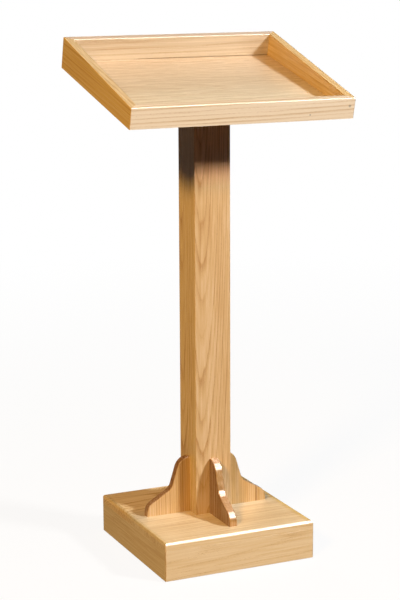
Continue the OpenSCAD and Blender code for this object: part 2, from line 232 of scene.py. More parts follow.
def break_edges(piece, size):
    """A touch of sandpaper: every sharp edge loses a hair, so that it catches the light."""
    use_modifier(piece, 'BEVEL', width=size, segments=2, limit_method='ANGLE',
                 angle_limit=SHARP_ANGLE)
    smooth(piece)


# %% Helpers for copies and finished pieces
def twin(piece, name):
    """A copy with a mesh of its own, alone selected."""
    copy = piece.copy()
    copy.data = piece.data.copy()
    copy.name = copy.data.name = name
    bpy.context.scene.collection.objects.link(copy)
    select_only(copy)
    return copy


def finish_piece(piece, node_name, materials, which=lambda normal: 0):
    """Puts a finished piece in the frame: it rides on the one body and stands for its CAD node.
    Where it has several materials, which says by a face's normal what number the face gets."""
    piece.data.materials.clear()
    for material in materials if isinstance(materials, list) else [materials]:
        piece.data.materials.append(material)
    for face in piece.data.polygons:
        face.material_index = which(face.normal)
    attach(piece, "root")
    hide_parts(node_name)
    print(piece.name, len(piece.data.polygons), "faces")


# %% [markdown]
# ## Round pieces
# Screws, bolts, washers, glides and nails are round, so they are made on a lathe: a profile, drawn
# point by point in millimetres, is spun once round its axis. A cylinder primitive would show a
# straight stub; the profile gives the countersunk head, the thread and the point.

# %% Lathe
def lathe(name, profile, steps=24):
    """Spins a profile of radius and height, in millimetres, round the Z axis."""
    points = [Vector((radius, 0, height)) / 1000 for radius, height in profile]
    deselect()
    bpy.ops.mesh.primitive_plane_add(size=0.001, location=(0, 0, 0))
    piece = named(name)
    edit_all(piece, 'VERT')
    bpy.ops.mesh.merge(type='CENTER')
    bpy.ops.transform.translate(value=points[0])
    for here, there in zip(points, points[1:]):
        bpy.ops.mesh.extrude_vertices_move(TRANSFORM_OT_translate={"value": there - here})
    bpy.ops.mesh.select_all(action='SELECT')
    bpy.ops.mesh.spin(steps=steps, angle=2 * math.pi, center=(0, 0, 0), axis=(0, 0, 1))
    bpy.ops.mesh.select_all(action='SELECT')
    bpy.ops.mesh.remove_doubles(threshold=SAME)
    bpy.ops.mesh.normals_make_consistent(inside=False)
    leave_edit()
    return piece


# %% Placing copies
def copies(pattern, places):
    """Copies of a pattern at several places, each a matrix; the pattern itself goes."""
    made = []
    for number, place in enumerate(places, 1):
        copy = twin(pattern, f"{pattern.name}_{number}")
        copy.matrix_world = place
        settle()
        made.append(copy)
    remove(pattern)
    return made


def joined(pieces):
    """One piece out of several, under the first one's name."""
    select_only(pieces[0])
    for piece in pieces:
        piece.select_set(True)
    bpy.ops.object.join()
    return pieces[0]


def screw_seats(places):
    """One cutter for the seats of countersunk screws, a little fatter than the screws."""
    seat = lathe("screw_seat", [(0, -1), (4.95, -1), (4.95, 0.1), (2.55, 2.5), (2.55, 25), (0, 25)])
    return joined(copies(seat, places))


def at(x, y, z):
    return Matrix.Translation((x, y, z))


FLIP = Matrix.Rotation(math.pi, 4, 'X')
ON_TRAY = at(*TRAY_ORIGIN) @ TILTED.to_4x4()
PLATE_LOW = FLOOR_LIFT - BOARD

# %% [markdown]
# ## Oak
# Painting wood on a surface fails at the corners, where a real board shows its edge and its end.
# So the oak is a solid texture: the growth rings are cylinders round a pith line that lies
# somewhere outside the board, and each face shows where it cuts them. A board sawn flat shows
# flames, a board sawn across the rings shows straight lines, from the same nodes.
# Each board gets its own place in the log, so no two boards match.

# %% Helpers for nodes
def new_material(name):
    """A material, its node tree and its shader."""
    material = bpy.data.materials.new(name)
    material.use_nodes = True
    tree = material.node_tree
    return material, tree, tree.nodes["Principled BSDF"]


def wire(node, sockets):
    """Sets a node's sockets, or links them to sockets of other nodes."""
    for name, value in sockets.items():
        if isinstance(value, bpy.types.NodeSocket):
            node.id_data.links.new(value, node.inputs[name])
        else:
            node.inputs[name].default_value = value


def new_node(tree, kind, sockets=None, **settings):
    """Adds a node with its settings, and wires it."""
    node = tree.nodes.new(kind)
    for key, value in settings.items():
        setattr(node, key, value)
    wire(node, sockets or {})
    return node


def maths(tree, operation, *values, clamp=False):
    sockets = dict(enumerate(values))
    node = new_node(tree, "ShaderNodeMath", sockets, operation=operation, use_clamp=clamp)
    return node.outputs[0]


def vectors(tree, operation, *values):
    node = new_node(tree, "ShaderNodeVectorMath", dict(enumerate(values)), operation=operation)
    return node.outputs["Value" if operation in ('LENGTH', 'DOT_PRODUCT') else "Vector"]


def one_of(tree, vector, axis):
    """One of a vector's three numbers."""
    return new_node(tree, "ShaderNodeSeparateXYZ", {0: vector}).outputs[axis]


# %% Helpers for patterns and colours
def noise(tree, place, stretch, shift, detail, rough=0.5):
    """Noise whose grains measure 1 / stretch along each axis, in metres."""
    moved = vectors(tree, 'MULTIPLY_ADD', place, stretch, (shift, shift * 1.7, shift * 0.6))
    return new_node(tree, "ShaderNodeTexNoise",
                    {"Vector": moved, "Scale": 1, "Detail": detail, "Roughness": rough})


def ramp(tree, value, stops, eased=False):
    """A colour ramp; each stop is a position and a grey value or a colour."""
    node = new_node(tree, "ShaderNodeValToRGB", {"Fac": value})
    node.color_ramp.interpolation = 'EASE' if eased else 'LINEAR'
    while len(node.color_ramp.elements) < len(stops):
        node.color_ramp.elements.new(0.5)
    for element, (position, colour) in zip(node.color_ramp.elements, stops):
        element.position = position
        element.color = (colour, colour, colour, 1) if isinstance(colour, float) else (*colour, 1)
    return node.outputs["Color"]


def tint(tree, colour, amount, by):
    """The colour, multiplied by another one as far as the amount says."""
    node = new_node(tree, "ShaderNodeMix", data_type='RGBA', blend_type='MULTIPLY')
    wire(node, {"Factor": amount, 6: colour, 7: (*by, 1)})
    return node.outputs[2]


def shade(red, green, blue):
    """A colour as a screen shows it, 0 to 255, turned into the linear values that shaders use."""
    return tuple(((c / 255 + 0.055) / 1.055) ** 2.4 for c in (red, green, blue))


def relief(tree, shader, height, strength, depth):
    """Gives the shader a fine relief, as deep as depth, in metres."""
    bump = new_node(tree, "ShaderNodeBump",
                    {"Strength": strength, "Distance": depth, "Height": height})
    wire(shader, {"Normal": bump.outputs["Normal"]})


# %% [markdown]
# A board's lie says which way its grain runs and which face shows. Painted light and shade change
# its colour towards one end, and filler rubbed off beside a pin leaves a grey smear. Both are tints
# over the finished grain, so that it runs on through them.

# %% How a board lies, its painted shading and its smears
LIES = {name: Matrix(axes).transposed() for name, axes in {
    "x_up": ((1, 0, 0), (0, 1, 0), (0, 0, 1)),
    "x_front": ((1, 0, 0), (0, 0, 1), (0, -1, 0)),
    "y_left": ((0, -1, 0), (0, 0, 1), (-1, 0, 0)),
    "y_up": ((0, 1, 0), (-1, 0, 0), (0, 0, 1)),
    "z_front": ((0, 0, 1), (-1, 0, 0), (0, -1, 0)),
    "z_left": ((0, 0, 1), (0, 1, 0), (-1, 0, 0)),
}.items()}
SMEAR_TINT = shade(198, 204, 212)


def along_grain(tree, centre, lie, tilted, lean):
    """A point's place on the object, its place along and across the grain, and the fibre's way."""
    turn = TILTED @ LIES[lie] if tilted else LIES[lie]
    fibre = turn @ Vector((1, 0, 0))
    turn = turn @ Matrix.Rotation(lean[0], 3, 'Z') @ Matrix.Rotation(lean[1], 3, 'Y')
    place = new_node(tree, "ShaderNodeTexCoord").outputs["Object"]
    mapping = new_node(tree, "ShaderNodeMapping", vector_type='TEXTURE')
    wire(mapping, {"Vector": place, "Location": centre, "Rotation": turn.to_euler()})
    return place, mapping.outputs["Vector"], fibre


def painted_shading_and_smears(tree, colour, place, painted_shading, smears, streak):
    """The colour with its painted light and shade, each an axis, where it starts, where it is full
    and a tint, and its filler smears (place, size), whose borders the wood's streaks fray."""
    # Painted light and shade: tints that fade in along one axis.
    for axis, start, full, by in painted_shading:
        amount = maths(tree, 'SUBTRACT', one_of(tree, place, axis), start)
        amount = maths(tree, 'DIVIDE', amount, full - start, clamp=True)
        colour = tint(tree, colour, amount, by)
    for spot, size in smears:
        away = vectors(tree, 'LENGTH', vectors(tree, 'SUBTRACT', place, spot))
        away = maths(tree, 'MULTIPLY_ADD', streak, 0.8, maths(tree, 'DIVIDE', away, size))
        near = ramp(tree, away, [(0.7, 1.0), (1.25, 0.0)], eased=True)
        colour = tint(tree, colour, near, SMEAR_TINT)
    return colour


# %% Growth rings
SPRING_WOOD = [(0, 0.15), (0.08, 1.0), (0.26, 0.55), (0.6, 0.0), (1, 0.15)]
GLUE_HALF, NEXT_BOARD_SHIFT = 0.0013, 0.0217


def ring_bands(tree, grain, seed, pith, ring, joint):
    """How strongly the spring wood shows; with a joint, also where the second board and its glue
    line are."""
    # The distance from the pith, a little bent, grows by one ring a year.
    drift = noise(tree, grain, (1.8, 9, 9), seed, detail=1.5)
    drift = vectors(tree, 'SUBTRACT', drift.outputs["Color"], (0.5, 0.5, 0.5))
    bent = vectors(tree, 'MULTIPLY_ADD', drift, (0, 0.012, 0.012), grain)
    across = vectors(tree, 'MULTIPLY', vectors(tree, 'SUBTRACT', bent, (0, *pith)), (0, 1, 1))
    radius = vectors(tree, 'LENGTH', across)
    beyond = glue = None
    if joint is not None:
        side = maths(tree, 'SUBTRACT', one_of(tree, grain, "Y"), joint)
        side = maths(tree, 'MULTIPLY', side, math.copysign(1, joint))
        beyond = maths(tree, 'GREATER_THAN', side, 0)
        glue = maths(tree, 'LESS_THAN', maths(tree, 'ABSOLUTE', side), GLUE_HALF)
        radius = maths(tree, 'ADD', radius, maths(tree, 'MULTIPLY', beyond, NEXT_BOARD_SHIFT))

    # Each year starts with a dark band of spring wood, stronger in some years than in others.
    waver = noise(tree, grain, (7, 90, 90), seed + 3, detail=2).outputs["Fac"]
    phase = maths(tree, 'DIVIDE', radius, ring)
    phase = maths(tree, 'ADD', phase, maths(tree, 'MULTIPLY', waver, 0.5))
    year = new_node(tree, "ShaderNodeTexWhiteNoise", noise_dimensions='1D')
    wire(year, {"W": maths(tree, 'FLOOR', phase)})
    strength = maths(tree, 'MULTIPLY_ADD', year.outputs["Value"], 0.8, 0.2)
    spring = ramp(tree, maths(tree, 'FRACT', phase), SPRING_WOOD)
    band = maths(tree, 'MULTIPLY', spring, strength)
    if joint is not None:
        band = maths(tree, 'MULTIPLY', band, maths(tree, 'MULTIPLY_ADD', beyond, -0.8, 1))
    return band, beyond, glue


# %% Oak
PORES_PER_METRE = (110, 1700, 1700)
PORE_TINT, GLUE_TINT, NEXT_BOARD_TINT = (
    shade(150, 105, 65), shade(170, 135, 95), shade(235, 229, 209))


def oak(name, centre, lie, seed, tones, pith, ring, lean, lines=1.0, streaks=1.0, pores=1.0,
        tilted=False, joint=None, end_tone=(196, 172, 142), painted_shading=(), smears=(), lacquer=True,
        gloss=1.0):
    """Oak for one board. Pith: where the log's centre lies, across and below the face that shows.
    Ring: how far apart the growth rings are. Lean: how the log slopes. Lines, streaks, pores: how
    strongly each shows. Tilted: in the tray's slope. Joint: where a second board is glued on,
    across. Gloss: how much the surface shines."""
    material, tree, shader = new_material(name)
    place, grain, fibre = along_grain(tree, centre, lie, tilted, lean)
    band, beyond, glue = ring_bands(tree, grain, seed, pith, ring, joint)

    # Fine streaks, broad clouds and the bands choose a tone between dark and light.
    streak = noise(tree, grain, (3.5, 260, 260), seed + 7, detail=3, rough=0.6).outputs["Fac"]
    cloud = noise(tree, grain, (1.6, 22, 22), seed + 11, detail=2).outputs["Fac"]
    tone = maths(tree, 'MULTIPLY_ADD', maths(tree, 'SUBTRACT', streak, 0.5), 0.55 * streaks, 0.56)
    tone = maths(tree, 'MULTIPLY_ADD', maths(tree, 'SUBTRACT', cloud, 0.5), 0.5, tone)
    tone = maths(tree, 'SUBTRACT', tone, maths(tree, 'MULTIPLY', band, 0.26 * lines), clamp=True)
    colour = ramp(tree, tone, [(0.2, tones[0]), (0.5, tones[1]), (0.74, tones[2])])

    # Pores are long thin cells, most of them open in the spring wood.
    pore = new_node(tree, "ShaderNodeTexVoronoi", feature='F1')
    wire(pore, {"Vector": vectors(tree, 'MULTIPLY', grain, PORES_PER_METRE), "Scale": 1})
    open_pore = ramp(tree, pore.outputs["Distance"], [(0.18, 1.0), (0.34, 0.0)])
    many = maths(tree, 'MULTIPLY_ADD', band, 0.9 * pores, 0.12 * pores)
    open_pore = maths(tree, 'MULTIPLY', open_pore, many, clamp=True)
    colour = tint(tree, colour, maths(tree, 'MULTIPLY', open_pore, 0.75), PORE_TINT)

    # A face that cuts the fibres across shows the darker end grain.
    normal = new_node(tree, "ShaderNodeNewGeometry").outputs["Normal"]
    facing = vectors(tree, 'DOT_PRODUCT', normal, fibre)
    end = maths(tree, 'POWER', maths(tree, 'ABSOLUTE', facing), 1.6)
    colour = tint(tree, colour, maths(tree, 'MULTIPLY', end, 0.8), shade(*end_tone))
    if joint is not None:
        colour = tint(tree, colour, beyond, NEXT_BOARD_TINT)
        colour = tint(tree, colour, maths(tree, 'MULTIPLY', glue, 0.9), GLUE_TINT)
    colour = painted_shading_and_smears(tree, colour, place, painted_shading, smears, streak)

    # Lacquer is a thin coat; bare wood has none and is rougher.
    rough = maths(tree, 'MULTIPLY_ADD', streak, 0.12, 0.21 if lacquer else 0.6)
    rough = maths(tree, 'MULTIPLY_ADD', open_pore, 0.25, rough)
    wire(shader, {"Base Color": colour, "Roughness": rough, "Specular IOR Level": 0.25 * gloss,
                  "Coat Weight": 0.7 * gloss if lacquer else 0, "Coat Roughness": 0.25})
    height = maths(tree, 'SUBTRACT', maths(tree, 'MULTIPLY', streak, 0.5), open_pore)
    relief(tree, shader, height, strength=0.25, depth=0.0002)
    return material


# %% Oak tones
DARKER, LIGHTER = (0.74, 0.62, 0.48), (0.25, 0.2, 0.16)


def tones(red, green, blue):
    """Dark, middle and light wood from one middle colour; dark wood is also redder."""
    middle = Vector(shade(red, green, blue))
    dark = Vector([m * d for m, d in zip(middle, DARKER)])
    light = Vector([m + (1 - m) * l for m, l in zip(middle, LIGHTER)])
    return tuple(dark), tuple(middle), tuple(light)


# Most of these are one oak as it looks on one face under these lamps, lighter or darker copies by
# face: painted light and shade. The base's front round-over tone is a painted highlight; far_side,
# softwood and beech are the wood's own colours.
WOOD = {name: tones(*colour) for name, colour in {
    "base_top": (230, 211, 173),
    "base_front": (225, 199, 155),
    "base_edge_highlight": (250, 240, 224),
    "base_side": (241, 222, 178),
    "post_front": (208, 176, 129),
    "post_side": (243, 214, 150),
    "tray_front": (239, 225, 202),
    "tray_back": (194, 178, 153),
    "tray_left": (237, 203, 119),
    "tray_right": (203, 168, 102),
    "tray_floor": (221, 207, 181),
    "bracket": (196, 158, 97),
    "front_bracket_shade": (141, 110, 81),
    "front_edge": (178, 138, 88),
    "front_steep_shade": (164, 126, 69),
    "edge": (160, 122, 80),
    "rim_front": (237, 225, 203),
    "rim_back": (233, 219, 204),
    "rim_left": (228, 207, 163),
    "rim_right": (238, 212, 158),
    "far_side": (215, 170, 113),
    "softwood": (222, 190, 140),
    "beech": (216, 178, 134),
}.items()}
print(len(WOOD), "tones of wood")

# %% [markdown]
# ## The base
# The base is a shallow box: four boards mitred at the corners, under a panel whose top edge has a
# generous round-over that shows as a bright line, partly a lamp's reflection and partly a painted
# highlight. The boards are sawn from one block, so that the rounding at the corners runs on from
# board to board. A boolean would also do, but saw cuts leave cleaner faces. Booleans only round the
# panel's corners and cut the seats of its screws.

# %% Base top panel
CORNER_ROUND = 0.003
BRACKET_SCREW_OUTS = (0.032, 0.080)
panel = block("lectern_base_top", BASE_LOW, BASE_HIGH)
round_edges(panel, both(lambda p: p.z > BASE_HIGH.z - CLOSE), radius=0.008, steps=8)
plan = block("base_plan", (BASE_LOW.x, BASE_LOW.y, 0), (BASE_HIGH.x, BASE_HIGH.y, 0.2))
round_edges(plan, upright, CORNER_ROUND, steps=4)
carve(panel, plan, 'INTERSECT')
BRACKET_SCREWS = [turn @ at(POST_HALF + out, 0, BASE_LOW.z)
                  for turn in QUARTER_TURNS for out in BRACKET_SCREW_OUTS]
seats = screw_seats(BRACKET_SCREWS)
carve(panel, seats)
remove(plan, seats)
smooth(panel)
print("panel:", len(panel.data.vertices), "points")

# %% [markdown]
# Each face of the panel takes one of several copies of the same oak, chosen by its normal: lighter
# or darker as the light falls on that face, a painted light and shade, and on the front round-over
# a much lighter tone, a painted highlight.

# %% Oaks of the base top panel
# Painted light and shade on the panel: the wood is tinted warmer behind the post, where the post's
# shade falls, and the top darker by the brackets' feet and along its left and right edges.
BACK_PAINTED_SHADING = [("Y", 0.0, 0.06, (1.08, 0.99, 0.84))]
TOP_PAINTED_SHADING = [("Y", -0.05, -0.01, (0.88, 0.91, 0.98)), ("Y", 0.0, 0.06, (1.23, 1.09, 0.86)),
             ("X", 0.157, 0.169, (0.92, 0.85, 0.55)), ("X", -0.167, -0.175, (0.86, 0.88, 0.82))]
PANEL_TONES = ["base_top", "base_front", "base_side", "base_edge_highlight", "far_side"]
UNTINTED = (255, 255, 255)
panel_oaks = [
    oak(f"oak_{tone}_panel", (0, 0, BASE_HIGH.z), "x_up", 2.0, WOOD[tone], pith=(0.12, -0.09),
        ring=0.006, lean=(0.0, 0.02), end_tone=UNTINTED, lines=1.5,
        gloss=0.3 if tone == "base_top" else 1.0,
        painted_shading=TOP_PAINTED_SHADING if tone == "base_top" else BACK_PAINTED_SHADING)
    for tone in PANEL_TONES]


# A face's tone by its normal: painted light and shade, with a painted highlight on the front
# round-over.
def panel_part(n):
    if n.y < -0.3 and 0.2 < n.z < 0.95:
        tone = "base_edge_highlight"
    elif abs(n.z) > 0.4:
        tone = "base_top"
    elif -n.x > abs(n.y):
        tone = "base_side"
    else:
        tone = "base_front" if -n.y > abs(n.x) else "far_side"
    return PANEL_TONES.index(tone)


finish_piece(panel, "base_top_panel", panel_oaks, panel_part)


# %% Base rails
def frame_board(source, name, half_w, half_d, side):
    """Saws one board of a mitred frame out of a block that has the frame's outline."""
    board = twin(source, name)
    reach, half_length = (half_d, half_w) if side in (FRONT, BACK) else (half_w, half_d)
    outward = OUTWARD[side]
    along = Vector((0, 0, 1)).cross(outward)
    saw(board, outward * (reach - BOARD), -outward)
    for way in (-1, 1):
        saw(board, outward * reach + along * way * half_length, along * way - outward)
    return board


rails_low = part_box("base_left_rail")[0]
rails_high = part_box("base_right_rail")[1]
outline = block("base_outline", (BASE_LOW.x, BASE_LOW.y, rails_low.z),
                (BASE_HIGH.x, BASE_HIGH.y, rails_high.z))
round_edges(outline, upright, CORNER_ROUND, steps=3)
RAIL_LIES = ["x_front", "y_left"] * 2
# The front and left boards take tones for how the light falls on them: painted light and shade.
RAIL_TONES = ["base_front", "far_side", "far_side", "base_side"]
for side, side_name in enumerate(SIDES):
    rail = frame_board(outline, f"lectern_base_{side_name}", BASE_HIGH.x, BASE_HIGH.y, side)
    break_edges(rail, size=0.0004)
    wood = oak(f"oak_base_{side_name}", OUTWARD[side] * BASE_HIGH.y, RAIL_LIES[side],
               5.0 + 3 * side, WOOD[RAIL_TONES[side]], pith=(0.06, -0.05), ring=0.007,
               lean=(0.01, 0.03), lines=0.7 if side in (FRONT, BACK) else 0.4)
    finish_piece(rail, f"base_{side_name}_rail", wood)
remove(outline)

# %% [markdown]
# ## The post
# Four boards, mitred along their whole length, make a hollow square post. Its head is cut at the
# tray's slope. The mitres run along the post's edges, so each face is one board wide.

# %% Post boards
post_low, post_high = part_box("post_back_board")
outline = block("post_outline", (-POST_HALF, -POST_HALF, post_low.z),
                (POST_HALF, POST_HALF, post_high.z + 0.02))
round_edges(outline, upright, radius=0.0015, steps=3)
saw(outline, TRAY_ORIGIN + TILTED @ Vector((0, 0, PLATE_LOW)), TILTED @ Vector((0, 0, 1)))
POST_LIES = ["z_front", "z_left"] * 2
# The front and left boards take tones for how the light falls on them, painted light and shade.
# Painted shade also tints the front board redder at its top, under the tray's shadow, and the left
# board darker towards its foot and redder at its top.
POST_TONES = ["post_front", "far_side", "far_side", "post_side"]
POST_PAINTED_SHADING = {
    FRONT: [("Z", 0.82, 0.86, (1.3, 0.97, 0.87))],
    LEFT: [("Z", 0.26, 0.09, shade(206, 204, 215)), ("Z", 0.83, 0.855, (1.1, 0.92, 1.0))],
}
for side, side_name in enumerate(SIDES):
    board = frame_board(outline, f"lectern_post_{side_name}", POST_HALF, POST_HALF, side)
    break_edges(board, size=0.0002)
    wood = oak(f"oak_post_{side_name}", OUTWARD[side] * POST_HALF + Vector((0, 0, 0.5)),
               POST_LIES[side], 20.0 + 3 * side, WOOD[POST_TONES[side]], pith=(0.027, -0.05),
               ring=0.0042, lean=(0.0, -0.045), lines=1.4, painted_shading=POST_PAINTED_SHADING.get(side, ()))
    finish_piece(board, f"post_{side_name}_board", wood)
remove(outline)

# %% [markdown]
# ## The brackets
# Each bracket is an ogee: a round shoulder at the post, a steep run, a hollow, a gentle run and
# a round toe. On the real one a router followed a template, which rounds both edges. The outline
# is drawn here the way a compass would draw it: one short edge is spun round the centre of each
# arc and extruded along each straight run, so that every join is tangent. The ribbon is then
# closed and its long edges are bevelled.

# %% Bracket outline
BRACKET_H, BRACKET_REACH, BRACKET_T = 0.127, 0.104, 0.019
SHOULDER_R, COVE_R, TOE_R = 0.032, 0.026, 0.028
COVE_OUT, COVE_UP, TOE_UP = 0.067, 0.0745, 0.0065
foot_corner = Vector((POST_HALF, 0, BASE_HIGH.z))
shoulder = foot_corner + Vector((0, 0, BRACKET_H - SHOULDER_R))
cove = foot_corner + Vector((COVE_OUT, 0, COVE_UP))
toe = foot_corner + Vector((BRACKET_REACH - TOE_R, 0, TOE_UP))


def run_normal(start, start_r, end, end_r, turn):
    """The angle, seen from the front, of the normal to the straight run between two arcs."""
    gap = end - start
    return math.atan2(gap.z, gap.x) + turn * math.acos((start_r + end_r) / gap.length)


steep = run_normal(shoulder, SHOULDER_R, cove, COVE_R, 1)
gentle = run_normal(toe, TOE_R, cove, COVE_R, -1)


def on_arc(centre, radius, angle):
    return centre + radius * Vector((math.cos(angle), 0, math.sin(angle)))


def spin_to(centre, angle, steps):
    """Spins the selected edge round a centre; a positive angle turns from post towards foot."""
    bpy.ops.mesh.spin(steps=steps, angle=angle, center=centre, axis=(0, -1, 0))


def run_by(step):
    bpy.ops.mesh.extrude_edges_move(TRANSFORM_OT_translate={"value": step})


# %% Bracket
deselect()
start = on_arc(shoulder, SHOULDER_R, math.pi / 2)
bpy.ops.mesh.primitive_plane_add(size=BRACKET_T, location=start + Vector((BRACKET_T / 2, 0, 0)))
pattern = named("bracket_pattern")
settle()
pick_edges(pattern, both(lambda p: p.x > start.x + CLOSE))
bpy.ops.mesh.select_mode(type='VERT')
bpy.ops.mesh.delete(type='VERT')
bpy.ops.mesh.select_mode(type='EDGE')
bpy.ops.mesh.select_all(action='SELECT')
spin_to(shoulder, math.pi / 2 - steep, 12)
run_by(on_arc(cove, -COVE_R, steep) - on_arc(shoulder, SHOULDER_R, steep))
spin_to(cove, steep - gentle, 10)
run_by(on_arc(toe, TOE_R, gentle) - on_arc(cove, -COVE_R, gentle))
spin_to(toe, gentle, 12)
run_by(Vector((0, 0, foot_corner.z - toe.z)))
run_by(Vector((-BRACKET_REACH, 0, 0)))
run_by(Vector((0, 0, BRACKET_H)))
bpy.ops.mesh.select_all(action='SELECT')
bpy.ops.mesh.remove_doubles(threshold=CLOSE)
bpy.ops.mesh.fill_holes(sides=0)
bpy.ops.mesh.select_all(action='SELECT')
bpy.ops.mesh.normals_make_consistent(inside=False)
leave_edit()
print("bracket outline:", [round(d, 4) for d in pattern.dimensions])

# %% [markdown]
# The long edges are rounded as the router leaves them; the sides that stand against the post and on
# the base stay square. Turned copies make the four brackets. Their narrow edges, partly sawn across
# the grain, get darker tones of their own, which are painted shade; on the front one the steep run
# is darker than the rest of the edge. The front bracket's seen face is darker still, also painted
# shade. The right one has a second board glued on.

# %% Four brackets
def free_long_edge(a, b):
    on_face = abs(abs(a.y) - BRACKET_T / 2) < SAME and abs(a.y - b.y) < SAME
    against = max(a.x, b.x) < foot_corner.x + SAME or max(a.z, b.z) < foot_corner.z + SAME
    return on_face and not against


round_edges(pattern, free_long_edge, radius=0.003, steps=4)
break_edges(pattern, size=0.0002)
BRACKET_LIES = ["z_left", "z_front"] * 2
# Painted light: the side brackets' outer parts, out of the post's shade, are tinted less orange.
BRACKET_PAINTED_SHADING = {
    RIGHT: [("X", 0.07, 0.09, (1.0, 1.06, 1.28))],
    LEFT: [("X", -0.043, -0.06, (0.99, 1.06, 1.32))],
}
SECOND_BOARDS = {RIGHT: -0.0395}
LOG = {"pith": (0.09, -0.03), "lean": (0.0, 0.02)}
for side, side_name in enumerate(SIDES):
    bracket = twin(pattern, f"lectern_bracket_{side_name}")
    bracket.rotation_euler.z = math.pi / 2 * (side - 1)
    settle()
    out = OUTWARD[side] * (POST_HALF + 0.04) + Vector((0, 0, BASE_HIGH.z + 0.05))
    lie, seed = BRACKET_LIES[side], 40.0 + 3 * side
    wood = oak(f"oak_bracket_{side_name}", out, lie, seed,
               WOOD["front_bracket_shade" if side == FRONT else "bracket"], ring=0.0048, lines=1.5,
               joint=SECOND_BOARDS.get(side), painted_shading=BRACKET_PAINTED_SHADING.get(side, ()), **LOG)
    edge_tones = ["far_side"] + (["front_edge", "front_steep_shade"] if side == FRONT else ["edge"])
    edges = [oak(f"oak_{tone}_{side_name}", out, lie, seed, WOOD[tone], ring=0.0065,
                 end_tone=UNTINTED, **LOG) for tone in edge_tones]
    across = Vector((1, 0, 0)) if side in (FRONT, BACK) else Vector((0, 1, 0))

    def bracket_part(n):
        """The seen face, the face behind it, and the edge; on the front bracket the steep run takes
        a darker tone, a painted shade.
        """
        if abs(n.dot(across)) > 0.8:
            return 0 if n.dot(across) < 0 else 1
        return len(edges) if 0.2 < n.z < 0.42 else 2

    finish_piece(bracket, f"bracket_{side_name}", [wood] + edges, bracket_part)
remove(pattern)

# %% [markdown]
# ## The tray
# The tray is a picture frame with a floor. It is made lying flat, where its sizes are simple, and
# then tilted and lifted onto the post as one turn of each mesh. Its rim slopes, because the back
# board is higher than the front one. A boolean cuts the groove that holds the floor, with a block
# a little larger than the floor's edge, as a router cutter would.

# %% Tray placing
def place_on_post(piece, ahead=TRAY_FORWARD):
    """Tilts a piece made lying flat and moves it to the tray's place."""
    select_only(piece)
    piece.rotation_euler.x = TILT
    piece.location = TRAY_ORIGIN + TILTED @ Vector((0, -ahead, 0))
    settle()


def on_tray(x, y, z):
    """A place in the flat tray, in the room's measure."""
    return TRAY_ORIGIN + TILTED @ Vector((x, y - TRAY_FORWARD, z))


def on_rim(p):
    return abs((p - rim_point).dot(rim_normal)) < CLOSE


rim_point = Vector((0, -TRAY_L / 2, TRAY_FRONT_H))
rim_normal = Vector((0, -math.sin(RIM_TILT), math.cos(RIM_TILT)))
print("tray middle:", [round(c, 4) for c in on_tray(0, 0, 0)])

# %% Tray outline and cutters
GROOVE, PLAY = 0.006, 0.0003
GAP_START, GAP_DEPTH = -0.09, 0.0012
half_w, half_l, floor_top = TRAY_W / 2, TRAY_L / 2, FLOOR_LIFT + FLOOR_T
inner_w, inner_l = half_w - BOARD, half_l - BOARD
outline = block("tray_outline", (-half_w, -half_l, 0), (half_w, half_l, TRAY_BACK_H + 0.01))
round_edges(outline, upright, radius=0.002, steps=3)
saw(outline, rim_point, rim_normal)
round_edges(outline, both(on_rim), radius=0.0015, steps=3)
cutter = block("groove_cutter", (-inner_w - GROOVE, -inner_l - GROOVE, FLOOR_LIFT),
               (inner_w + GROOVE, inner_l + GROOVE, floor_top + PLAY))
gap = block("gap_cutter", (GAP_START, inner_l - GROOVE, floor_top - 0.001),
            (inner_w, inner_l + GROOVE, floor_top + GAP_DEPTH))
print("groove:", [round(d, 4) for d in cutter.dimensions])

# %% [markdown]
# A fine dark line shows where the back rail stands a hair off the floor: a second cutter takes that
# hair away. Each rail has three tones, its own, its rim's and the far side's; its own and its rim's
# are painted light and shade, lighter or darker as the light falls on each face.

# %% Tray rails
RIM_LINES = [1.8, 0.8, 0.8, 1.4]
SMEARS = {FRONT: [(on_tray(0.242, -half_l, 0.028), 0.006),
                  (on_tray(0.15, -half_l, 0.0125), 0.004)]}
tray_up = TILTED @ rim_normal


def rail_part(n):
    if n.dot(tray_up) > 0.9:
        return 1
    return 2 if max(n.x, n.y) > 0.9 else 0


for side, side_name in enumerate(SIDES):
    rail = frame_board(outline, f"lectern_tray_{side_name}", half_w, half_l, side)
    inner = inner_l if side in (FRONT, BACK) else inner_w
    inside = both(lambda p: on_rim(p) and abs(p.dot(OUTWARD[side]) - inner) < CLOSE)
    round_edges(rail, inside, radius=0.0015, steps=3)
    carve(rail, cutter)
    if side == BACK:
        carve(rail, gap)
    break_edges(rail, size=0.0003)
    place_on_post(rail)
    middle = on_tray(*(OUTWARD[side] * (inner + BOARD)))
    woods = [oak(f"oak_{tone}_{side_name}", middle, RAIL_LIES[side], 60.0 + 3 * side, WOOD[tone],
                 pith=(0.08, -0.04), ring=0.0075, lean=(0.006, 0.01), lines=RIM_LINES[side],
                 tilted=True, smears=SMEARS.get(side, ()))
             for tone in (f"tray_{side_name}", f"rim_{side_name}", "far_side")]
    finish_piece(rail, f"tray_{side_name}_rail", woods, rail_part)
remove(outline, cutter, gap)

# %% Tray floor
housed = BOARD - 0.0055
